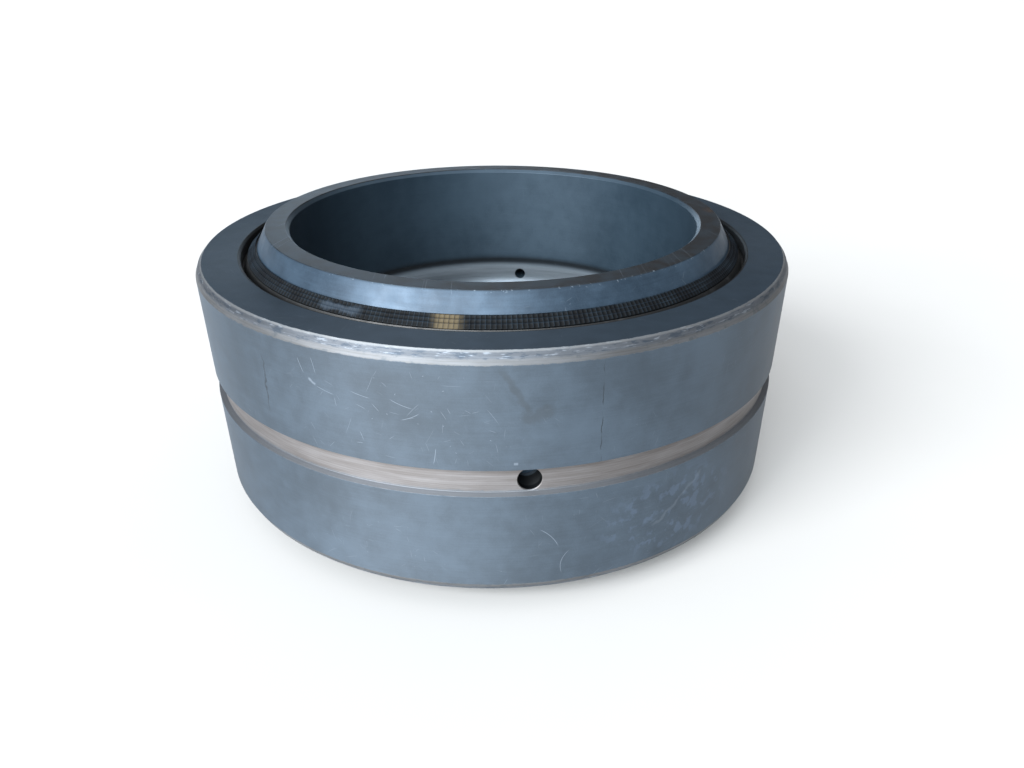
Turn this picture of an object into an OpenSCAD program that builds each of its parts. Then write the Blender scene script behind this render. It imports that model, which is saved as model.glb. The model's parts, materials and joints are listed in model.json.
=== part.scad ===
// Radial spherical plain bearing, sealed on both sides.
// Millimetres. The origin is the ball centre, and +Z is the bore axis.
// The outer ring, the inner ring and the two seals share that axis.
// Each seal carries a thin woven facing on its outward side.

/* [Rings] */
// Diameter of the shaft hole in the inner ring
bore_d = 90; // [88:0.5:92]
// Outside diameter of the outer ring
outer_d = 130; // [129:0.5:134]
// Width of the inner ring along the bore axis
inner_w = 60; // [59:0.5:62]
// Width of the outer ring along the bore axis
outer_w = 50; // [49:0.5:51]
// Diameter of the ball surface on the inner ring
ball_d = 116.6; // [116.2:0.1:117]
// Radial clearance between the ball and the raceway
raceway_gap = 0.05; // [0.02:0.01:0.1]

/* [Edges] */
// Radial size of the edge break on the outside of the outer ring
edge_radial = 1.4; // [0.8:0.1:1.8]
// Axial size of the edge break on the outside of the outer ring
edge_axial = 2.2; // [1.5:0.1:3]
// Size of the chamfer at each end of the bore
bore_chamfer = 0.8; // [0.5:0.1:1.2]
// Axial size of the small chamfer where the ball meets the end face
rim_chamfer = 0.3; // [0.2:0.1:0.6]

/* [Oil ways] */
// Width of the groove round the outside of the outer ring
outer_groove_w = 5.5; // [4:0.1:7]
// Depth of the groove round the outside of the outer ring
outer_groove_depth = 1.2; // [0.8:0.1:1.6]
// Diameter of the oil holes through the outer ring
outer_hole_d = 4.4; // [3:0.1:5]
// Direction of the first outer oil hole, turned from +X towards +Y
outer_hole_angle = -85; // [-180:1:180]
// Width of the groove round the bore of the inner ring
bore_groove_w = 10.4; // [8:0.1:12]
// Depth of the groove round the bore of the inner ring, at its middle
bore_groove_depth = 1.5; // [1:0.1:2]
// Diameter of the oil holes through the inner ring
inner_hole_d = 3; // [2:0.1:4]
// Direction of the first inner oil hole, turned from +X towards +Y
inner_hole_angle = 81; // [-180:1:180]

/* [Seals] */
// Radius of the open mouth of the seal seat at the ring's face
seat_mouth_r = 55.8; // [55.7:0.1:56]
// Chamfer round the mouth of the seal seat
seat_chamfer = 0.4; // [0.3:0.1:0.6]
// Depth of the seal seat below the ring's face
seat_depth = 5.4; // [5:0.1:5.8]
// Height of the undercut that holds the seal's rim
undercut_h = 2.8; // [2.4:0.1:3.1]
// Radial depth of that undercut behind the seat's mouth
undercut_depth = 2.8; // [2.4:0.1:3]
// Outside radius of the seal's visible face
seal_face_r = 54.3; // [54.1:0.05:54.5]
// Outside radius of the seal's web where it leaves the rim
web_foot_r = 55.4; // [55.2:0.05:55.5]
// Height of the seal lip's tip above the ring's face
lip_rise = 1.1; // [0.8:0.1:1.3]
// Radial clearance between the seal lips and the ball
lip_gap = 0.08; // [0.05:0.01:0.1]
// Thickness of the woven facing along the bore axis
weave_t = 0.4; // [0.3:0.05:0.5]
// Radial clearance between the woven facing and the ball
weave_gap = 0.3; // [0.25:0.05:0.4]

/* [Hidden] */
$fn = 144;
bore_r = bore_d / 2;
outer_r = outer_d / 2;
ball_r = ball_d / 2;
raceway_r = ball_r + raceway_gap;
inner_half = inner_w / 2;
outer_half = outer_w / 2;
groove_half = outer_groove_w / 2;
// The edge break has two facets: this is where they meet, as shares of its radial and axial size
break_radial = 0.40;
break_axial = 0.42;
// Smallest radius the outer ring's blank is turned to before the raceway and seats are cut
blank_bore_r = ball_r - 8;
seat_floor_z = outer_half - seat_depth;
undercut_r = seat_mouth_r + undercut_depth;
// Free play of the seal's rim in its undercut
rim_play_radial = 0.3;
rim_play_axial = 0.2;
seal_rim_r = undercut_r - rim_play_radial;
seal_bottom_z = seat_floor_z + rim_play_axial;
seal_rim_top_z = seat_floor_z + undercut_h - rim_play_axial;
// The seal's outward face is a shallow cone from its outer edge up to the lip
face_edge_z = outer_half - 0.6;
lip_tip_z = outer_half + lip_rise;
weave_inner_r = sphere_radius_at(ball_r + weave_gap, lip_tip_z);
weave_top_r = sphere_radius_at(ball_r + weave_gap, lip_tip_z + weave_t);
// Grease pocket between the two lips of a seal
pocket_r = ball_r + 0.6;
pocket_floor_z = seal_bottom_z + 0.8;
pocket_roof_z = outer_half - 0.2;
// Radius of the inner ring's end face where the ball surface would meet it
rim_r = sphere_radius_at(ball_r, inner_half);
cut = 1;

// Radius of the circle that a sphere about the origin has at one height
function sphere_radius_at(r, z) = sqrt(pow(r, 2) - pow(z, 2));

// Hollow section of the bore groove: an arc through its two edges, in short straight steps
groove_steps = 8;
groove_arc_r = (pow(bore_groove_w / 2, 2) + pow(bore_groove_depth, 2)) / (2 * bore_groove_depth);
groove_arc_half = asin(bore_groove_w / 2 / groove_arc_r);
groove_arc_centre = bore_r + bore_groove_depth - groove_arc_r;
bore_groove_arc = [
    for (i = [0 : groove_steps])
        let (angle = groove_arc_half * (2 * i / groove_steps - 1))
            [groove_arc_centre + groove_arc_r * cos(angle), groove_arc_r * sin(angle)]
];

// ---------- shared shapes ----------

// A hollow disc between two heights
module washer(r_out, r_in, z_low, z_high) {
    difference() {
        translate([0, 0, z_low]) cylinder(r = r_out, h = z_high - z_low);
        translate([0, 0, z_low - cut]) cylinder(r = r_in, h = z_high - z_low + 2 * cut);
    }
}

// Two opposite radial holes between two radii
module radial_holes(d, angle, r_from, r_to) {
    for (turn = [0, 180])
        rotate([0, 0, angle + turn])
            translate([r_from, 0, 0])
                rotate([0, 90, 0])
                    cylinder(d = d, h = r_to - r_from);
}

// Copies a shape made for the upper end to the lower end as well
module both_ends() {
    children();
    mirror([0, 0, 1]) children();
}

// ---------- outer ring ----------

// Half section of the blank: faces, two-facet edge breaks and the outside groove
module outer_blank() {
    groove_r = outer_r - outer_groove_depth;
    rotate_extrude()
        polygon([
            [blank_bore_r, -outer_half],
            [outer_r - edge_radial, -outer_half],
            [outer_r - break_radial * edge_radial, -outer_half + break_axial * edge_axial],
            [outer_r, -outer_half + edge_axial],
            [outer_r, -groove_half],
            [groove_r, -groove_half + 0.3],
            [groove_r, groove_half - 0.3],
            [outer_r, groove_half],
            [outer_r, outer_half - edge_axial],
            [outer_r - break_radial * edge_radial, outer_half - break_axial * edge_axial],
            [outer_r - edge_radial, outer_half],
            [blank_bore_r, outer_half]
        ]);
}

// Stepped seat for one seal: open mouth, chamfered edge and undercut
module seal_seat() {
    rotate_extrude()
        polygon([
            [0, seat_floor_z],
            [undercut_r, seat_floor_z],
            [undercut_r, seat_floor_z + undercut_h],
            [seat_mouth_r, seat_floor_z + undercut_h],
            [seat_mouth_r, outer_half - seat_chamfer],
            [seat_mouth_r + seat_chamfer, outer_half],
            [seat_mouth_r + seat_chamfer, outer_half + cut],
            [0, outer_half + cut]
        ]);
}

module outer_ring() {
    color([0.30, 0.35, 0.40])
        difference() {
            outer_blank();
            sphere(r = raceway_r);
            both_ends() seal_seat();
            radial_holes(outer_hole_d, outer_hole_angle, raceway_r - 3, outer_r + cut);
        }
}

// ---------- inner ring ----------

// Outer limits of the inner ring: its two end faces and the small rim chamfers
module inner_envelope() {
    slope = 1.6;
    rotate_extrude()
        polygon([
            [0, -inner_half],
            [rim_r - rim_chamfer, -inner_half],
            [rim_r + slope * rim_chamfer, -inner_half + rim_chamfer + 0.2],
            [ball_r + cut, -inner_half + 12],
            [ball_r + cut, inner_half - 12],
            [rim_r + slope * rim_chamfer, inner_half - rim_chamfer - 0.2],
            [rim_r - rim_chamfer, inner_half],
            [0, inner_half]
        ]);
}

// The shaft hole with its end chamfers and its oil groove
module bore_cut() {
    lower_end = [
        [0, -inner_half - cut],
        [bore_r + bore_chamfer + cut, -inner_half - cut],
        [bore_r, -inner_half + bore_chamfer]
    ];
    upper_end = [
        [bore_r, inner_half - bore_chamfer],
        [bore_r + bore_chamfer + cut, inner_half + cut],
        [0, inner_half + cut]
    ];
    rotate_extrude()
        polygon(concat(lower_end, bore_groove_arc, upper_end));
}

module inner_ring() {
    color([0.36, 0.44, 0.53])
        difference() {
            intersection() {
                sphere(r = ball_r);
                inner_envelope();
            }
            bore_cut();
            radial_holes(inner_hole_d, inner_hole_angle, bore_r - cut, ball_r + cut);
        }
}

// ---------- seals ----------

// Moulded seal for the upper end: a rim held in the undercut, a web and two lips on the ball
module seal_body() {
    difference() {
        rotate_extrude()
            polygon([
                [ball_r - 8, seal_bottom_z],
                [seal_rim_r, seal_bottom_z],
                [seal_rim_r, seal_rim_top_z],
                [web_foot_r, seal_rim_top_z],
                [seal_face_r, face_edge_z],
                [weave_inner_r, lip_tip_z],
                [ball_r - 8, lip_tip_z]
            ]);
        sphere(r = ball_r + lip_gap);
        intersection() {
            sphere(r = pocket_r);
            washer(ball_r, ball_r - 12, pocket_floor_z, pocket_roof_z);
        }
    }
}

// Woven facing on the cone of the upper seal
module seal_weave() {
    rotate_extrude()
        polygon([
            [seal_face_r, face_edge_z],
            [seal_face_r, face_edge_z + weave_t],
            [weave_top_r, lip_tip_z + weave_t],
            [weave_inner_r, lip_tip_z]
        ]);
}

module upper_seal() {
    color([0.07, 0.08, 0.09])
        seal_body();
}

module lower_seal() {
    color([0.07, 0.08, 0.09])
        mirror([0, 0, 1]) seal_body();
}

module upper_seal_weave() {
    color([0.12, 0.14, 0.17])
        seal_weave();
}

module lower_seal_weave() {
    color([0.12, 0.14, 0.17])
        mirror([0, 0, 1]) seal_weave();
}

// ---------- output ----------

outer_ring();
inner_ring();
upper_seal();
lower_seal();
upper_seal_weave();
lower_seal_weave();
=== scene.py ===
import json
import math
from types import SimpleNamespace

import bpy
from mathutils import Matrix, Vector


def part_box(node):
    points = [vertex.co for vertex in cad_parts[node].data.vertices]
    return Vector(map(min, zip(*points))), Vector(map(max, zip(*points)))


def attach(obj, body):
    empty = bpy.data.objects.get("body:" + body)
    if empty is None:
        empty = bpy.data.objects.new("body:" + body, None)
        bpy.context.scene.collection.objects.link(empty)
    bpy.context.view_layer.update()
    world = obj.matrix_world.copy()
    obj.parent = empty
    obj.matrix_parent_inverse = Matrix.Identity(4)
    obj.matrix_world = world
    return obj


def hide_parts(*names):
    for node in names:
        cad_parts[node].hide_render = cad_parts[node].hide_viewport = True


# A sealed radial spherical plain bearing in a small studio. It has the sections of the CAD, with
# small fillets on its corners, and follows the CAD's bodies.

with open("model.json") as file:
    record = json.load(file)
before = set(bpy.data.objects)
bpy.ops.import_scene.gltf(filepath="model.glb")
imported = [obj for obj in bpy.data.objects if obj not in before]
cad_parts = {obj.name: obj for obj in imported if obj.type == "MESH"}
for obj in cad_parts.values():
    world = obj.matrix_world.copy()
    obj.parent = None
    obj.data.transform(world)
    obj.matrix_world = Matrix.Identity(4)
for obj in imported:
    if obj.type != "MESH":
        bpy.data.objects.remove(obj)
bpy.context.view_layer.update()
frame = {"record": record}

# ---------- sizes, in metres ----------

MM = 0.001
mounts = {m["name"]: m for m in frame["record"]["mounts"]}
outer_r = mounts["outer_diameter"]["dims"]["r_mm"] * MM
bore_r = mounts["bore"]["dims"]["r_mm"] * MM
outer_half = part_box("outer_ring")[1].z
inner_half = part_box("inner_ring")[1].z
ball_r = round(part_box("inner_ring")[1].x, 4)
seal_rim_r = round(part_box("upper_seal")[1].x, 4)
seal_bottom_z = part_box("upper_seal")[0].z
lip_tip_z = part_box("upper_seal")[1].z
seal_face_r = round(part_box("upper_seal_weave")[1].x, 4)
face_edge_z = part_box("upper_seal_weave")[0].z
weave_top_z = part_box("upper_seal_weave")[1].z

edge_radial = 1.4 * MM
edge_axial = 2.2 * MM
# Where the two facets of an edge break meet, as shares of its radial and axial size
break_radial = 0.40
break_axial = 0.42
groove_half = 2.75 * MM
groove_depth = 1.2 * MM
outer_hole_r = 2.2 * MM
outer_hole_angle = math.radians(-85)
bore_chamfer = 0.8 * MM
bore_groove_half = 5.2 * MM
bore_groove_depth = 1.5 * MM
inner_hole_r = 1.5 * MM
inner_hole_angle = math.radians(81)
raceway_r = ball_r + 0.05 * MM
# Free play of the seal's rim in the undercut of its seat
rim_play_axial = 0.2 * MM
rim_play_radial = 0.3 * MM
seat_floor_z = seal_bottom_z - rim_play_axial
undercut_h = 2.8 * MM
undercut_depth = 2.8 * MM
undercut_r = seal_rim_r + rim_play_radial
seat_mouth_r = undercut_r - undercut_depth
seat_chamfer = 0.4 * MM
web_foot_r = 55.4 * MM
# Grease pocket between the two lips of a seal: its depth in the ball's direction and its ends
pocket_depth = 0.6 * MM
pocket_low_z = seal_bottom_z + 0.8 * MM
pocket_high_z = outer_half - 0.2 * MM
lip_gap = 0.08 * MM
weave_gap = 0.3 * MM
weave_t = weave_top_z - lip_tip_z
# Longest stretch of an outline between two points
longest_stretch = 1.6 * MM
floor_z = -inner_half
front = math.radians(-90)


def circle_at(radius, z):
    """Radius of the circle that a sphere about the origin has at one height."""
    return math.sqrt(radius**2 - z**2)


# ---------- turned shapes ----------

def fillet(before, corner, after, radius, steps=5):
    """Points of a small arc that replaces one corner of an outline."""
    a, b, c = Vector(before), Vector(corner), Vector(after)
    to_a, to_c = (a - b).normalized(), (c - b).normalized()
    half_angle = to_a.angle(to_c) / 2
    back = radius / math.tan(half_angle)
    start, end = b + to_a * back, b + to_c * back
    centre = b + (to_a + to_c).normalized() * (radius / math.sin(half_angle))
    from_centre = start - centre
    turn = from_centre.angle_signed(end - centre)
    points = []
    for i in range(steps + 1):
        angle = -turn * i / steps
        points.append(centre + Matrix.Rotation(angle, 2) @ from_centre)
    return points


def soften(corners):
    """Outline points (r, z) from corners (r, z, fillet radius)."""
    points = []
    for i, (r, z, radius) in enumerate(corners):
        if radius == 0:
            points.append(Vector((r, z)))
            continue
        before = corners[i - 1][:2]
        after = corners[(i + 1) % len(corners)][:2]
        points += fillet(before, (r, z), after, radius)
    return points


def divide(points, longest):
    """The same closed outline with no stretch longer than one length."""
    result = []
    for i, point in enumerate(points):
        following = points[(i + 1) % len(points)]
        parts = max(1, math.ceil((following - point).length / longest))
        for k in range(parts):
            result.append(point.lerp(following, k / parts))
    return result


def ball_arc(radius, z_from, z_to, steps):
    """Corners without fillet along a sphere about the origin."""
    arc = []
    for i in range(steps + 1):
        z = z_from + (z_to - z_from) * i / steps
        arc.append((circle_at(radius, z), z, 0))
    return arc


def hollow_arc(radius, half, depth, steps):
    """Corners of a groove hollowed out of a bore, from its upper edge to its lower one."""
    arc_r = (half**2 + depth**2) / (2 * depth)
    span = math.asin(half / arc_r)
    arc = []
    for i in range(steps + 1):
        angle = span * (1 - 2 * i / steps)
        arc.append((radius + depth - arc_r + arc_r * math.cos(angle), arc_r * math.sin(angle), 0))
    return arc


def mesh_object(name, vertices, faces, material):
    """An object in the scene, made from its corner places and its faces."""
    mesh = bpy.data.meshes.new(name)
    mesh.from_pydata(vertices, [], faces)
    mesh.update()
    mesh.materials.append(material)
    obj = bpy.data.objects.new(name, mesh)
    bpy.context.scene.collection.objects.link(obj)
    return obj


def lathe(name, outline, material, turns=360):
    """A closed ring: the outline, listed anticlockwise as (r, z), turned about Z."""
    count = len(outline)
    vertices = []
    for i in range(turns):
        angle = 2 * math.pi * i / turns
        c, s = math.cos(angle), math.sin(angle)
        vertices += [(p.x * c, p.x * s, p.y) for p in outline]
    faces = []
    for i in range(turns):
        here, there = i * count, (i + 1) % turns * count
        for k in range(count):
            n = (k + 1) % count
            faces.append((here + k, there + k, there + n, here + n))
    return mesh_object(name, vertices, faces, material)


def flip(corners):
    """The same section at the lower end, still listed anticlockwise."""
    return [(r, -z, radius) for r, z, radius in reversed(corners)]


def round_drill(name, radius, r_from, r_to, angle, flare, flare_r):
    """A radial cutter whose mouth flares a little just under the surface at flare_r."""
    steps = 48
    stations = [
        (r_from, radius),
        (flare_r - flare, radius),
        (flare_r, radius + flare),
        (r_to, radius + flare),
    ]
    vertices = []
    for along, size in stations:
        for i in range(steps):
            t = 2 * math.pi * i / steps
            vertices.append((along, size * math.cos(t), size * math.sin(t)))
    faces = [tuple(range(steps - 1, -1, -1))]
    for k in range(len(stations) - 1):
        for i in range(steps):
            n = (i + 1) % steps
            a, b = k * steps, (k + 1) * steps
            faces.append((a + i, a + n, b + n, b + i))
    last = (len(stations) - 1) * steps
    faces.append(tuple(range(last, last + steps)))
    turn = Matrix.Rotation(angle, 4, "Z")
    vertices = [turn @ Vector(v) for v in vertices]
    return mesh_object(name, vertices, faces, bpy.data.materials.new(name))


def opposite(angle):
    """Names and directions of the two cutters of a pair of holes on one diameter."""
    return [(f"drill_{i}", angle + i * math.pi) for i in range(2)]


def drill(obj, cutters):
    """Cuts the holes and removes the cutters."""
    for cutter in cutters:
        cut = obj.modifiers.new("hole", "BOOLEAN")
        cut.operation = "DIFFERENCE"
        cut.solver = "EXACT"
        cut.material_mode = "INDEX"
        cut.object = cutter
    graph = bpy.context.evaluated_depsgraph_get()
    drilled = bpy.data.meshes.new_from_object(obj.evaluated_get(graph))
    obj.modifiers.clear()
    material = obj.data.materials[0]
    obj.data = drilled
    drilled.materials.clear()
    drilled.materials.append(material)
    for cutter in cutters:
        bpy.data.objects.remove(cutter)


def finish_shading(obj, sharp=38):
    """Smooth shading that keeps flat faces flat next to their small fillets."""
    obj.data.shade_smooth()
    obj.data.set_sharp_from_angle(angle=math.radians(sharp))
    weighted = obj.modifiers.new("even normals", "WEIGHTED_NORMAL")
    weighted.keep_sharp = True
    weighted.weight = 60


# ---------- shader helper ----------

class Shader:
    """A material built from named node steps. Lengths in its maths are millimetres."""

    def __init__(self, name):
        self.material = bpy.data.materials.new(name)
        self.material.use_nodes = True
        tree = self.material.node_tree
        tree.nodes.clear()
        self.nodes, self.links = tree.nodes, tree.links
        self.bsdf = self.nodes.new("ShaderNodeBsdfPrincipled")
        output = self.nodes.new("ShaderNodeOutputMaterial")
        self.links.new(self.bsdf.outputs[0], output.inputs[0])
        coordinates = self.nodes.new("ShaderNodeTexCoord").outputs["Object"]
        scaled = self.nodes.new("ShaderNodeVectorMath")
        scaled.operation = "SCALE"
        self.links.new(coordinates, scaled.inputs[0])
        scaled.inputs["Scale"].default_value = 1 / MM
        self.place = scaled.outputs[0]
        parts = self.nodes.new("ShaderNodeSeparateXYZ")
        self.links.new(self.place, parts.inputs[0])
        self.x, self.y, self.z = parts.outputs
        self.r = self.math("SQRT", self.add(self.times(self.x, self.x), self.times(self.y, self.y)))
        self.height = self.math("ABSOLUTE", self.z)
        # Length round the axis, measured from the front
        self.around = self.times(self.math("ARCTAN2", self.x, self.times(self.y, -1.0)), self.r)

    def put(self, value, socket):
        if isinstance(value, bpy.types.NodeSocket):
            self.links.new(value, socket)
        else:
            socket.default_value = value

    def math(self, operation, a, b=0.0, c=0.0):
        node = self.nodes.new("ShaderNodeMath")
        node.operation = operation
        for value, socket in zip((a, b, c), node.inputs):
            self.put(value, socket)
        return node.outputs[0]

    def add(self, a, b):
        return self.math("ADD", a, b)

    def less(self, a, b):
        return self.math("SUBTRACT", a, b)

    def times(self, a, b):
        return self.math("MULTIPLY", a, b)

    def most(self, *values):
        result = values[0]
        for value in values[1:]:
            result = self.math("MAXIMUM", result, value)
        return result

    def step(self, value, low, high):
        """0 below low and 1 above high, smooth between; low may be the larger one."""
        node = self.nodes.new("ShaderNodeMapRange")
        node.interpolation_type = "SMOOTHSTEP"
        self.put(value, node.inputs["Value"])
        for number, name in ((low, "From Min"), (high, "From Max")):
            self.put(number, node.inputs[name])
        return node.outputs[0]

    def vector(self, x, y, z):
        node = self.nodes.new("ShaderNodeCombineXYZ")
        for value, socket in zip((x, y, z), node.inputs):
            self.put(value, socket)
        return node.outputs[0]

    def shifted(self, seed):
        node = self.nodes.new("ShaderNodeVectorMath")
        node.operation = "ADD"
        self.links.new(self.place, node.inputs[0])
        node.inputs[1].default_value = (seed * 31.7, seed * 17.3, seed * 53.1)
        return node.outputs[0]

    def noise(self, scale, seed=0, detail=2.0, rough=0.5, distort=0.0, at=None):
        """Noise whose features are about 1 / scale millimetres across."""
        node = self.nodes.new("ShaderNodeTexNoise")
        self.links.new(at or self.shifted(seed), node.inputs["Vector"])
        node.inputs["Scale"].default_value = scale
        node.inputs["Detail"].default_value = detail
        node.inputs["Roughness"].default_value = rough
        node.inputs["Distortion"].default_value = distort
        return node.outputs[0]

    def mix(self, factor, a, b):
        node = self.nodes.new("ShaderNodeMix")
        node.data_type = "RGBA"
        self.put(factor, node.inputs[0])
        for value, socket in ((a, node.inputs[6]), (b, node.inputs[7])):
            if isinstance(value, tuple):
                value = (*value, 1.0)
            self.put(value, socket)
        return node.outputs[2]

    def blend(self, factor, a, b):
        """Number between a and b."""
        return self.add(self.times(factor, b), self.times(self.less(1.0, factor), a))

    def turning_lines(self, pitch, seed=0):
        """Fine rings left by the lathe: noise that changes only with radius and height."""
        along = self.vector(self.r, self.z, seed * 7.1)
        return self.noise(1 / pitch, detail=3.0, rough=0.7, at=along)

    def split(self, value):
        """The three parts of a vector or a colour."""
        node = self.nodes.new("ShaderNodeSeparateXYZ")
        self.links.new(value, node.inputs[0])
        return node.outputs

    def streaks(self, length, height, seed=0):
        """Noise drawn out round the axis."""
        up = self.add(self.times(self.z, 1 / height), seed * 7.1)
        at = self.vector(self.times(self.x, 1 / length), self.times(self.y, 1 / length), up)
        return self.noise(1.0, detail=4.0, rough=0.6, at=at)

    def oval(self, x, z, half_x, half_z):
        """1 inside an oval on the outside wall, fading out at its rim."""
        off_x = self.times(self.less(self.around, x), 1 / half_x)
        off_z = self.times(self.less(self.z, z), 1 / half_z)
        return self.step(self.add(self.times(off_x, off_x), self.times(off_z, off_z)), 1.0, 0.2)

    def scratches(self, across, up, spacing, length, width, share, seed, bow=0.0):
        """Short scratches: one line at its own angle in some of the cells of a Voronoi pattern."""
        at = self.vector(self.add(across, seed * 31.7), self.add(up, seed * 17.3), 0.0)
        cells = self.nodes.new("ShaderNodeTexVoronoi")
        cells.voronoi_dimensions = "2D"
        cells.inputs["Scale"].default_value = 1 / spacing
        self.links.new(at, cells.inputs["Vector"])
        offset = self.nodes.new("ShaderNodeVectorMath")
        offset.operation = "SUBTRACT"
        self.links.new(at, offset.inputs[0])
        self.links.new(cells.outputs["Position"], offset.inputs[1])
        du, dv, _ = self.split(offset.outputs[0])
        turn, kept, strength = self.split(cells.outputs["Color"])
        turn = self.times(turn, 2 * math.pi)
        cos_t, sin_t = self.math("COSINE", turn), self.math("SINE", turn)
        along = self.add(self.times(du, cos_t), self.times(dv, sin_t))
        aside = self.less(self.times(dv, cos_t), self.times(du, sin_t))
        aside = self.less(aside, self.times(self.times(along, along), bow))
        line = self.step(self.math("ABSOLUTE", aside), width, 0.3 * width)
        ends = self.step(self.math("ABSOLUTE", along), length / 2, length / 5)
        kept = self.step(kept, 1 - share, 1.02 - share)
        return self.times(self.times(line, ends), self.times(kept, strength))

    def stroke(self, angle, z, length, lean, bow=0.0, width=0.16, ragged=0.0, at_r=65.0):
        """One mark on an upright wall: a bent line about a place given by its angle and height."""
        cos_a, sin_a = math.cos(angle), math.sin(angle)
        across = self.add(self.times(self.x, -sin_a), self.times(self.y, cos_a))
        facing = self.add(self.times(self.x, cos_a), self.times(self.y, sin_a))
        up = self.less(self.z, z)
        cos_l, sin_l = math.cos(lean), math.sin(lean)
        along = self.add(self.times(across, cos_l), self.times(up, sin_l))
        aside = self.less(self.times(up, cos_l), self.times(across, sin_l))
        aside = self.less(aside, self.times(self.times(along, along), bow))
        if ragged:
            wobble = self.less(self.noise(0.5, seed=z, detail=3.0), 0.5)
            aside = self.add(aside, self.times(wobble, ragged))
        line = self.step(self.math("ABSOLUTE", aside), width, 0.3 * width)
        ends = self.step(self.math("ABSOLUTE", along), length / 2, 0.3 * length)
        return self.times(self.times(line, ends), self.step(facing, 0.8 * at_r, 0.85 * at_r))

    def bump(self, height, strength=1.0):
        """Bump from a height in millimetres."""
        node = self.nodes.new("ShaderNodeBump")
        node.inputs["Strength"].default_value = strength
        node.inputs["Distance"].default_value = MM
        self.links.new(height, node.inputs["Height"])
        self.links.new(node.outputs[0], self.bsdf.inputs["Normal"])

    def turned_sheen(self, amount):
        """Reflections drawn out across the fine rings that turning leaves."""
        tangent = self.nodes.new("ShaderNodeTangent")
        tangent.direction_type = "RADIAL"
        tangent.axis = "Z"
        self.links.new(tangent.outputs[0], self.bsdf.inputs["Tangent"])
        self.set(Anisotropic=amount, Anisotropic_Rotation=0.25)

    def set(self, **sockets):
        for name, value in sockets.items():
            if isinstance(value, tuple):
                value = (*value, 1.0)
            self.put(value, self.bsdf.inputs[name.replace("_", " ")])


# ---------- materials ----------

def phosphate(s, deep, pale, seed):
    """Colour and roughness of a phosphate coat: clouds, soft blotches and a fine crystal grain."""
    clouds = s.noise(0.05, seed, detail=3.0)
    blotches = s.noise(0.30, seed + 1, detail=4.0, rough=0.6)
    grain = s.noise(4.0, seed + 2, detail=2.0)
    drawn = s.streaks(9.0, 0.35, seed + 3)
    amount = s.add(s.times(clouds, 0.5), s.times(blotches, 0.25))
    amount = s.add(amount, s.add(s.times(grain, 0.12), s.times(drawn, 0.13)))
    colour = s.mix(s.step(amount, 0.35, 0.65), deep, pale)
    rough = s.add(0.34, s.times(s.add(blotches, grain), 0.10))
    return colour, rough, grain


def bare_metal(s, seed, dull, bright):
    """Colour of turned bare steel with fine rings and soft stain drawn out round the axis."""
    rings = s.turning_lines(0.25, seed)
    stain = s.streaks(14.0, 1.2, seed + 4)
    amount = s.add(s.times(rings, 0.4), s.times(stain, 0.6))
    return s.mix(s.step(amount, 0.32, 0.68), dull, bright), rings


def fine_scratches(s, across, up, seed, where=None):
    """Scratches of several lengths, denser in some places than in others."""
    lines = s.most(
        s.scratches(across, up, 3.0, 2.2, 0.06, 0.30, seed, 0.03),
        s.scratches(across, up, 2.0, 1.5, 0.05, 0.28, seed + 1, 0.05),
        s.scratches(across, up, 5.0, 4.2, 0.06, 0.25, seed + 2, 0.02),
        s.scratches(across, up, 1.3, 0.4, 0.08, 0.10, seed + 3),
    )
    crowded = s.step(s.noise(0.08, seed + 4, detail=2.0), 0.46, 0.62)
    if where is not None:
        crowded = s.add(s.times(crowded, 0.45), s.times(where, 0.75))
    return s.times(lines, crowded)


def outer_ring_marks(s):
    """Single marks on the outside: pale scratches, dark cracks and brown smudges."""
    def mark(turned, z, length, lean, bow=0.0, **looks):
        return s.stroke(front + math.radians(turned), z, length, math.radians(lean), bow, **looks)

    pale = s.most(
        mark(8.4, -12.2, 6.0, -50, -0.06, width=0.10),
        mark(10.2, -18.2, 6.0, -105, 0.12, width=0.09),
        mark(-29.3, 16.4, 2.0, -35, 0.05, width=0.35, ragged=0.8),
        mark(-20.8, 15.7, 4.0, -12, 0.02, width=0.07),
        mark(-27.0, 15.2, 4.0, -15, 0.02, width=0.07),
        mark(-31.2, 19.0, 3.2, -70, 0.03, width=0.08),
        mark(-28.6, 19.6, 3.4, -78, -0.03, width=0.07),
        mark(-14.4, 14.9, 4.5, -20, 0.04, width=0.08),
        mark(-13.0, 12.6, 4.0, 25, 0.05, width=0.08),
        mark(-9.6, 5.4, 3.5, 80, 0.02, width=0.09),
        mark(2.7, 4.1, 0.9, 0, width=0.35),
        s.times(mark(30.0, -13.0, 9.0, 35, 0.02, width=0.6, ragged=2.2), 0.35),
        s.times(mark(35.0, -8.5, 8.0, 40, 0.03, width=0.6, ragged=2.2), 0.35),
    )
    cracks = s.most(
        s.times(mark(16.0, 12.6, 22.0, 91, width=0.11, ragged=1.0), s.step(s.noise(0.4, 45), 0.35, 0.6)),
        s.times(mark(-40.1, 12.7, 13.0, 88, width=0.22, ragged=2.2), 0.65),
    )
    smudges = s.most(
        mark(3.0, 17.6, 12.0, -58, width=0.8, ragged=2.0),
        mark(6.0, 13.6, 7.0, 20, width=1.6, ragged=3.0),
    )
    return pale, cracks, smudges


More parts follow.
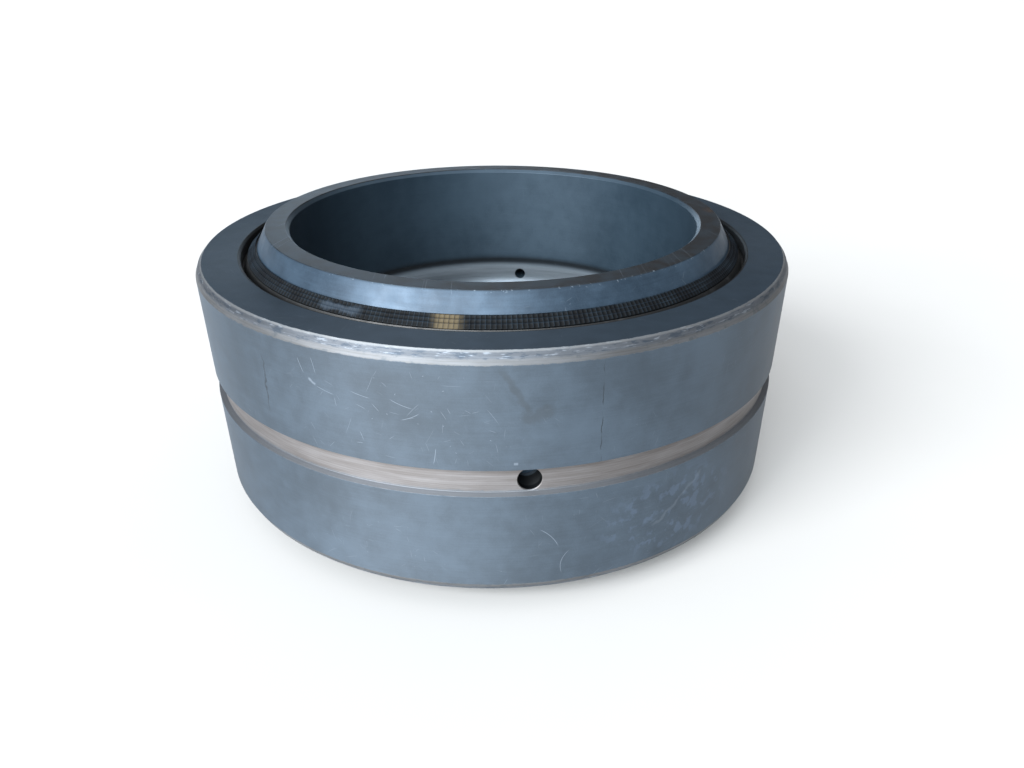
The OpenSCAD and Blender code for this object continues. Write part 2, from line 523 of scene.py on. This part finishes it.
def outer_ring_regions(s):
    """Where the parts of the outer ring's surface are: 1 on each, 0 elsewhere."""
    face_rim = (outer_r - edge_radial) / MM
    face_z = outer_half / MM
    land_end = (outer_half - edge_axial) / MM
    groove_end = groove_half / MM
    groove_floor = (outer_r - groove_depth) / MM
    seat_rim = (seat_mouth_r + seat_chamfer) / MM
    seat_floor = seat_floor_z / MM
    raceway = raceway_r / MM
    hole_r = outer_hole_r / MM

    uneven = s.less(s.noise(0.9, 11, detail=4.0, rough=0.65), 0.5)
    on_side = s.step(s.add(s.height, s.times(uneven, 0.7)), land_end - 0.10, land_end + 0.10)
    on_rim = s.step(s.add(s.r, s.times(uneven, 0.3)), face_rim - 0.05, face_rim + 0.05)
    face = s.times(s.step(s.height, face_z - 0.06, face_z - 0.03), s.less(1.0, on_rim))
    outside = s.step(s.r, groove_floor - 1.4, groove_floor - 1.2)
    groove = s.step(s.add(s.height, s.times(uneven, 0.15)), groove_end + 0.03, groove_end - 0.03)
    hole = s.step(s.r, groove_floor - 0.05, groove_floor - 0.20)
    hole = s.times(hole, s.step(s.r, raceway + 0.65, raceway + 1.15))
    hole = s.times(hole, s.step(s.height, hole_r + 0.3, hole_r + 0.1))
    seat = s.step(s.r, seat_rim + 0.25, seat_rim + 0.10)
    seat = s.times(seat, s.step(s.height, seat_floor - 1.6, seat_floor - 1.1))
    return SimpleNamespace(
        uneven=uneven,
        edge=s.times(on_side, on_rim),
        face=face,
        groove=s.times(groove, outside),
        wall=s.times(s.less(1.0, face), outside),
        hole=hole,
        seat=seat,
    )


def outer_groove_colour(s, uneven):
    """Bare steel in the outside groove, bluer on its lower side, and the turned rings in it."""
    colour, rings = bare_metal(s, 2, (0.150, 0.137, 0.133), (0.232, 0.223, 0.226))
    low_side = s.step(s.add(s.z, s.times(uneven, 0.8)), -1.9, -2.4)
    return s.mix(s.times(low_side, 0.6), colour, (0.115, 0.138, 0.165)), rings


def edge_break_colour(s, uneven):
    """Bare steel on the edge breaks: a dull stripe, a bluer flecked one and a pale line at the face."""
    land_end = (outer_half - edge_axial) / MM
    low, _ = bare_metal(s, 5, (0.101, 0.102, 0.105), (0.163, 0.171, 0.184))
    dull_spots = s.step(s.noise(0.5, 18, detail=4.0), 0.55, 0.66)
    low = s.mix(s.times(dull_spots, 0.5), low, (0.07, 0.085, 0.10))
    high, _ = bare_metal(s, 8, (0.081, 0.089, 0.102), (0.127, 0.141, 0.163))
    flecks = s.step(s.streaks(2.4, 0.5, 15), 0.50, 0.60)
    high = s.mix(s.times(flecks, 0.7), high, (0.045, 0.062, 0.085))
    sparks = s.step(s.streaks(2.8, 0.35, 17), 0.57, 0.66)
    high = s.mix(s.times(sparks, 0.7), high, (0.24, 0.27, 0.31))
    upper_stripe = s.step(s.add(s.height, s.times(uneven, 0.5)), land_end + 0.75, land_end + 1.15)
    colour = s.mix(upper_stripe, low, high)
    corner_line = s.step(s.add(s.height, s.times(uneven, 0.2)), land_end + 1.75, land_end + 2.0)
    return s.mix(s.times(corner_line, 0.6), colour, (0.24, 0.25, 0.26))


def outer_ring_steel():
    """Phosphate-coated steel, bare on the edge breaks and in the groove, scratched and smudged, with painted
    shade on the top faces and painted near black in the oil holes and seal seats.
    """
    s = Shader("outer_ring_steel")
    on = outer_ring_regions(s)
    colour, rough, grain = phosphate(s, (0.032, 0.045, 0.060), (0.052, 0.073, 0.098), 1)
    # Painted shade: the top face takes a much darker colour than the coated wall, standing in for the dim
    # light it gets.
    shaded_face_colour = s.mix(s.noise(0.2, 37), (0.012, 0.019, 0.027), (0.021, 0.032, 0.046))
    groove_colour, rings = outer_groove_colour(s, on.uneven)
    black = (0.006, 0.007, 0.008)

    pale, cracks, smudges = outer_ring_marks(s)
    worn = s.oval(-16.0, 12.0, 22.0, 13.0)
    on_side = s.times(fine_scratches(s, s.around, s.z, 20, worn), on.wall)
    on_top = s.times(s.times(fine_scratches(s, s.x, s.y, 30), on.face), 0.3)
    scratches = s.most(on_side, on_top, s.times(pale, 0.7))
    rubbed = s.times(s.step(s.noise(0.45, 47, detail=4.0), 0.52, 0.62), s.oval(36.0, -13.0, 20.0, 11.0))

    colour = s.mix(on.face, colour, shaded_face_colour)
    colour = s.mix(s.times(smudges, 0.28), colour, (0.020, 0.020, 0.018))
    colour = s.mix(s.times(s.times(rubbed, on.wall), 0.45), colour, (0.075, 0.105, 0.155))
    colour = s.mix(s.times(scratches, 0.75), colour, (0.16, 0.19, 0.23))
    colour = s.mix(s.times(cracks, 0.8), colour, black)
    colour = s.mix(on.groove, colour, groove_colour)
    colour = s.mix(on.edge, colour, edge_break_colour(s, on.uneven))
    # Painted shade: the insides of the oil holes and the seal seats are painted near black.
    colour = s.mix(s.most(on.hole, on.seat), colour, black)

    bare = s.most(on.edge, on.groove)
    rough = s.blend(bare, s.add(rough, 0.14), 0.60)
    shine = s.blend(s.most(on.face, on.hole, on.seat), 0.6, 0.2)
    s.set(Base_Color=colour, Roughness=rough, Metallic=s.blend(bare, 0.3, 0.85), Specular_IOR_Level=shine)
    s.turned_sheen(s.blend(bare, 0.7, 0.5))
    height = s.add(s.times(grain, 0.004), s.times(rings, s.blend(bare, 0.002, 0.010)))
    height = s.less(height, s.times(s.most(scratches, cracks), 0.012))
    s.bump(s.less(height, s.times(bare, 0.01)))
    return s.material


def inner_ring_regions(s):
    """Where the parts of the inner ring's surface are: 1 on each, 0 elsewhere."""
    rim = circle_at(ball_r, inner_half) / MM
    face_z = inner_half / MM
    wall_r = bore_r / MM
    groove_end = bore_groove_half / MM
    ball = s.step(s.r, rim - 0.15, rim + 0.15)
    bore = s.step(s.r, wall_r + 2.2, wall_r + 1.8)
    groove = s.times(bore, s.step(s.r, wall_r, wall_r + 0.5))
    # Band along each edge of the bore groove that gets painted shade
    groove_edge_shade = s.step(s.math("ABSOLUTE", s.less(s.height, groove_end - 0.8)), 1.8, 0.2)
    return SimpleNamespace(
        ball=ball,
        face=s.times(s.step(s.height, face_z - 0.25, face_z - 0.1), s.less(1.0, ball)),
        groove=s.times(groove, s.step(s.height, groove_end - 0.6, 1.2)),
        groove_edge_shade=s.times(groove_edge_shade, bore),
        rim=s.step(s.math("ABSOLUTE", s.less(s.r, rim)), 0.35, 0.1),
        out_of_bore=s.step(s.r, wall_r + 0.3, wall_r + 1.0),
    )


def rust_spot(s):
    """A little rust on the rim at the right-hand side."""
    rim = circle_at(ball_r, inner_half) / MM
    angle = front + math.radians(91)
    off_x = s.less(s.x, rim * math.cos(angle))
    off_y = s.less(s.y, rim * math.sin(angle))
    gap = s.math("SQRT", s.add(s.times(off_x, off_x), s.times(off_y, off_y)))
    return s.times(s.step(gap, 3.0, 0.6), s.step(s.noise(1.2, 75, detail=3.0), 0.40, 0.55))


def inner_ring_steel():
    """Blue-grey coated steel with a bare bore groove, brownish end faces darkened as painted shade, painted
    shade along the groove's edges, and nicks on the ball.
    """
    s = Shader("inner_ring_steel")
    on = inner_ring_regions(s)
    colour, rough, grain = phosphate(s, (0.017, 0.031, 0.046), (0.026, 0.044, 0.063), 51)
    ball_colour, ball_rough, _ = phosphate(s, (0.017, 0.030, 0.047), (0.040, 0.066, 0.098), 56)
    brown = s.step(s.noise(0.3, 61, detail=4.0), 0.35, 0.65)
    # The end faces take a darker colour than the coat: its patchy tone is the faces' own, its darkness is
    # painted shade on these upward faces.
    shaded_face_colour = s.mix(brown, (0.009, 0.010, 0.012), (0.013, 0.019, 0.026))
    groove_colour, rings = bare_metal(s, 63, (0.30, 0.36, 0.42), (0.42, 0.49, 0.56))
    nicks = s.times(fine_scratches(s, s.around, s.z, 65), s.blend(on.out_of_bore, 0.15, 0.8))
    chips = s.times(on.rim, s.step(s.noise(2.0, 73, detail=3.0), 0.63, 0.70))
    marks = s.most(nicks, chips)

    colour = s.mix(on.face, colour, shaded_face_colour)
    colour = s.mix(on.ball, colour, ball_colour)
    colour = s.mix(on.groove, colour, groove_colour)
    # Painted shade: a near-black band along each edge of the bore groove.
    colour = s.mix(s.times(on.groove_edge_shade, 0.75), colour, (0.006, 0.007, 0.008))
    colour = s.mix(s.times(marks, 0.55), colour, (0.17, 0.21, 0.25))
    colour = s.mix(s.times(rust_spot(s), 0.7), colour, (0.060, 0.034, 0.020))

    ball_rough = s.add(s.times(ball_rough, 0.7), s.times(s.noise(0.35, 77, detail=4.0), 0.28))
    rough = s.blend(on.ball, s.blend(on.face, rough, 0.46), ball_rough)
    rough = s.blend(on.groove, rough, 0.28)
    s.set(Base_Color=colour, Roughness=rough, Metallic=s.blend(on.groove, 0.45, 0.9), Specular_IOR_Level=0.4)
    s.turned_sheen(0.35)
    height = s.add(s.times(grain, 0.003), s.times(rings, s.blend(on.groove, 0.003, 0.012)))
    s.bump(s.less(height, s.times(marks, 0.015)))
    return s.material


def seal_rubber():
    """Matt black rubber with a little dust."""
    s = Shader("seal_rubber")
    dust = s.step(s.noise(0.5, 81, detail=4.0), 0.5, 0.75)
    colour = s.mix(s.times(dust, 0.5), (0.004, 0.0045, 0.005), (0.012, 0.013, 0.015))
    s.set(Base_Color=colour, Roughness=s.blend(dust, 0.45, 0.7))
    s.bump(s.times(s.noise(3.0, 83, detail=3.0), 0.02))
    return s.material


def seal_cloth(gold_angle):
    """Coated cloth: pale thread crowns over dark cells, with one patch worn to a golden base."""
    s = Shader("seal_cloth")
    thread = s.nodes.new("ShaderNodeAttribute")
    thread.attribute_name = "thread"
    crown = thread.outputs["Fac"]
    wear = s.step(s.noise(0.25, 91, detail=3.0), 0.35, 0.65)
    cell = s.mix(wear, (0.0008, 0.0012, 0.0018), (0.002, 0.003, 0.004))
    line = s.mix(wear, (0.003, 0.005, 0.008), (0.009, 0.015, 0.022))
    colour = s.mix(crown, cell, line)
    gold_r = 0.5 * (seal_face_r + circle_at(ball_r, lip_tip_z)) / MM
    dx = s.less(s.x, gold_r * math.cos(gold_angle))
    dy = s.less(s.y, gold_r * math.sin(gold_angle))
    gap = s.math("SQRT", s.add(s.times(dx, dx), s.times(dy, dy)))
    patch = s.step(s.add(gap, s.times(s.noise(0.6, 93), 1.6)), 4.4, 2.2)
    patch = s.times(patch, s.step(s.z, 0.0, 1.0))
    gold = s.mix(crown, (0.075, 0.060, 0.036), (0.020, 0.018, 0.015))
    colour = s.mix(patch, colour, gold)
    scuff = s.stroke(front + math.radians(-31.5), 25.4, 11.0, 0.0, 0.0, width=0.7, ragged=1.5, at_r=53.0)
    colour = s.mix(s.times(scuff, 0.6), colour, (0.030, 0.042, 0.058))
    s.set(Base_Color=colour, Roughness=s.blend(crown, 0.65, 0.50), Specular_IOR_Level=0.12)
    s.bump(s.times(s.noise(5.0, 95, detail=2.0), 0.01))
    return s.material


def floor_paper():
    """Plain matt paper. Its grey turns out white under the strong lights."""
    s = Shader("floor_paper")
    fibre = s.noise(0.02, 97, detail=2.0)
    s.set(Base_Color=s.mix(fibre, (0.405, 0.400, 0.395), (0.425, 0.420, 0.415)), Roughness=0.9)
    return s.material


# ---------- pieces ----------

def outer_ring():
    """The outer ring, with rounded corners, its groove, both seal seats and two oil holes."""
    break_r = outer_r - break_radial * edge_radial
    break_z = outer_half - break_axial * edge_axial
    upper = [
        (outer_r - groove_depth, groove_half - 0.3 * MM, 0.12 * MM),
        (outer_r, groove_half, 0.10 * MM),
        (outer_r, outer_half - edge_axial, 0.30 * MM),
        (break_r, break_z, 0.30 * MM),
        (outer_r - edge_radial, outer_half, 0.20 * MM),
        (seat_mouth_r + seat_chamfer, outer_half, 0.12 * MM),
        (seat_mouth_r, outer_half - seat_chamfer, 0.12 * MM),
        (seat_mouth_r, seat_floor_z + undercut_h, 0.12 * MM),
        (undercut_r, seat_floor_z + undercut_h, 0.12 * MM),
        (undercut_r, seat_floor_z, 0.12 * MM),
    ]
    raceway = ball_arc(raceway_r, seat_floor_z, -seat_floor_z, 24)
    outline = divide(soften(upper + raceway + flip(upper)), longest_stretch)
    ring = lathe("outer_ring_turned", outline, outer_ring_steel())
    inside, outside = raceway_r - 3 * MM, outer_r + MM
    cutters = [
        round_drill(name, outer_hole_r, inside, outside, angle, 0.18 * MM, outer_r - groove_depth)
        for name, angle in opposite(outer_hole_angle)
    ]
    drill(ring, cutters)
    finish_shading(ring)
    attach(ring, "outer_body")
    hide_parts("outer_ring")


def inner_ring():
    """The inner ring: ball surface, end faces, chamfered bore with its oil groove and holes."""
    rim_z = inner_half - 0.35 * MM
    ball = ball_arc(ball_r, -rim_z, rim_z, 56)
    upper = [
        (circle_at(ball_r, inner_half) - 0.1 * MM, inner_half, 0.12 * MM),
        (bore_r + bore_chamfer, inner_half, 0.15 * MM),
        (bore_r, inner_half - bore_chamfer, 0.15 * MM),
    ]
    groove = hollow_arc(bore_r, bore_groove_half, bore_groove_depth, 16)
    outline = divide(soften(ball + upper + groove + flip(upper)), longest_stretch)
    ring = lathe("inner_ring_turned", outline, inner_ring_steel())
    inside, outside = bore_r - MM, ball_r + MM
    cutters = [
        round_drill(name, inner_hole_r, inside, outside, angle, 0.15 * MM, ball_r + 0.5 * MM)
        for name, angle in opposite(inner_hole_angle)
    ]
    drill(ring, cutters)
    finish_shading(ring)
    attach(ring, "inner_body")
    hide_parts("inner_ring")


def seal_corners():
    """Section of the upper seal: rim, web, cone face and the two lips on the ball."""
    lips_r = ball_r + lip_gap
    pocket_r = ball_r + pocket_depth
    cone_inner_r = circle_at(ball_r + weave_gap, lip_tip_z)
    rim_top_z = seal_bottom_z + undercut_h - 2 * rim_play_axial
    corners = [
        (seal_rim_r, seal_bottom_z, 0.15 * MM),
        (seal_rim_r, rim_top_z, 0.15 * MM),
        (web_foot_r, rim_top_z, 0.10 * MM),
        (seal_face_r, face_edge_z, 0),
        (cone_inner_r, lip_tip_z, 0),
    ]
    corners += ball_arc(lips_r, lip_tip_z, pocket_high_z, 3)
    corners += ball_arc(pocket_r, pocket_high_z, pocket_low_z, 6)
    corners += ball_arc(lips_r, pocket_low_z, seal_bottom_z, 3)
    return corners


def seals(material):
    """The moulded seal at each end."""
    for end, corners in (("upper", seal_corners()), ("lower", flip(seal_corners()))):
        ring = lathe(f"{end}_seal_moulded", divide(soften(corners), 2.0 * MM), material, turns=180)
        finish_shading(ring)
        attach(ring, "seal_body")
        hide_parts(f"{end}_seal")


def woven_ring(name, material, sign):
    """Cloth on the seal's cone: a grid of raised threads with sunk cells, modelled thread by thread."""
    around, across = 372, 3
    # Places within one cell, and the height of the cloth there as a share of its thickness
    spots = (0.0, 0.13, 0.5, 0.87)
    depth = (1.0, 0.35, 0.5, 0.35)
    low_r, low_z = seal_face_r, face_edge_z
    high_r, high_z = circle_at(ball_r + weave_gap, lip_tip_z), lip_tip_z
    vertices, crowns = [], []
    rows = [k + spot for k in range(across) for spot in spots] + [float(across)]
    row_heights = [h for k in range(across) for h in depth] + [1.0]
    # The outermost thread lies low, against the seal's edge
    row_heights[0] = 0.35
    for i in range(around):
        for spot, spot_height in zip(spots, depth):
            angle = 2 * math.pi * (i + spot) / around
            for row, row_height in zip(rows, row_heights):
                share = row / across
                crown = max(spot_height, row_height)
                lift = weave_t * (0.30 + 0.70 * crown)
                r = low_r + (high_r - low_r) * share
                z = low_z + (high_z - low_z) * share + lift
                vertices.append((r * math.cos(angle), r * math.sin(angle), sign * z))
                crowns.append(1.0 if crown == 1.0 else 0.0)
            for r, z in ((high_r, high_z), (low_r, low_z)):
                vertices.append((r * math.cos(angle), r * math.sin(angle), sign * z))
                crowns.append(0.0)
    count = len(rows) + 2
    columns = around * len(spots)
    faces = []
    for i in range(columns):
        here, there = i * count, (i + 1) % columns * count
        for k in range(count):
            n = (k + 1) % count
            face = (here + k, there + k, there + n, here + n)
            faces.append(face if sign > 0 else face[::-1])
    ring = mesh_object(name, vertices, faces, material)
    thread = ring.data.attributes.new("thread", "FLOAT", "POINT")
    thread.data.foreach_set("value", crowns)
    return ring


def weaves(material):
    """The woven facing on each seal."""
    for end, sign in (("upper", 1), ("lower", -1)):
        ring = woven_ring(f"{end}_seal_cloth", material, sign)
        ring.data.shade_smooth()
        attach(ring, "seal_body")
        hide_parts(f"{end}_seal_weave")


# ---------- studio ----------

def floor():
    """A wide flat floor under the inner ring's lower face."""
    size = 12.0
    corners = [(-size, -size, floor_z), (size, -size, floor_z), (size, size, floor_z), (-size, size, floor_z)]
    mesh_object("floor", corners, [(0, 1, 2, 3)], floor_paper())


def soft_sun(name, azimuth, elevation, strength, angle, colour):
    """Light from a direction: azimuth 0 comes from -Y, behind the camera, and 90 from +X."""
    light = bpy.data.lights.new(name, "SUN")
    light.energy = strength
    light.angle = math.radians(angle)
    light.color = colour
    lamp = bpy.data.objects.new(name, light)
    a, e = math.radians(azimuth), math.radians(elevation)
    source = Vector((math.sin(a) * math.cos(e), -math.cos(a) * math.cos(e), math.sin(e)))
    lamp.rotation_mode = "QUATERNION"
    lamp.rotation_quaternion = source.to_track_quat("Z", "Y")
    bpy.context.scene.collection.objects.link(lamp)


def sky():
    """Soft surroundings: a dim warm room, paler to the front left, overhead and behind."""
    world = bpy.data.worlds.new("studio")
    world.use_nodes = True
    bpy.context.scene.world = world
    nodes, links = world.node_tree.nodes, world.node_tree.links
    direction = nodes.new("ShaderNodeTexCoord").outputs["Generated"]

    def vector_step(operation, a, b):
        node = nodes.new("ShaderNodeVectorMath")
        node.operation = operation
        links.new(a, node.inputs[0])
        if isinstance(b, bpy.types.NodeSocket):
            links.new(b, node.inputs[1])
        else:
            node.inputs[1].default_value = b
        return node.outputs

    def glow(toward, edge, core, colour):
        """Light that grows from none to full as the direction comes nearer to one direction."""
        near = vector_step("DOT_PRODUCT", direction, Vector(toward).normalized())["Value"]
        share = nodes.new("ShaderNodeMapRange")
        share.interpolation_type = "SMOOTHSTEP"
        share.inputs["From Min"].default_value = edge
        share.inputs["From Max"].default_value = core
        links.new(near, share.inputs["Value"])
        return vector_step("MULTIPLY", share.outputs[0], colour)[0]

    total = glow((-0.60, -0.75, 0.25), 0.1, 1.0, (0.80, 0.92, 1.05))
    total = vector_step("ADD", total, glow((0.0, 0.0, 1.0), 0.45, 0.95, (1.05, 1.05, 1.06)))[0]
    total = vector_step("ADD", total, glow((-0.15, 1.0, 0.0), 0.945, 1.0, (2.6, 3.3, 4.0)))[0]
    total = vector_step("ADD", total, (0.115, 0.107, 0.100))[0]
    links.new(total, nodes["Background"].inputs[0])
    nodes["Background"].inputs[1].default_value = 1.0


def camera():
    """Camera close to the bearing, looking down on it from the front."""
    data = bpy.data.cameras.new("camera")
    data.lens = 27.85
    data.sensor_width = 36.0
    data.shift_x = -0.0086
    data.shift_y = 0.0522
    data.clip_start = 0.01
    data.clip_end = 100.0
    obj = bpy.data.objects.new("camera", data)
    obj.location = (0.0, -179.84 * MM, 77.52 * MM)
    obj.rotation_euler = (math.radians(59.36), math.radians(-0.09), math.radians(-1.88))
    bpy.context.scene.collection.objects.link(obj)
    bpy.context.scene.camera = obj


camera()
outer_ring()
inner_ring()
seals(seal_rubber())
weaves(seal_cloth(front + math.radians(-9.0)))
floor()
sky()
soft_sun("window", azimuth=-51, elevation=27, strength=5.2, angle=30, colour=(0.97, 0.99, 1.0))
soft_sun("wide_window", azimuth=-16, elevation=31, strength=5.5, angle=46, colour=(0.91, 0.97, 1.0))
bpy.context.scene.view_settings.view_transform = "Standard"
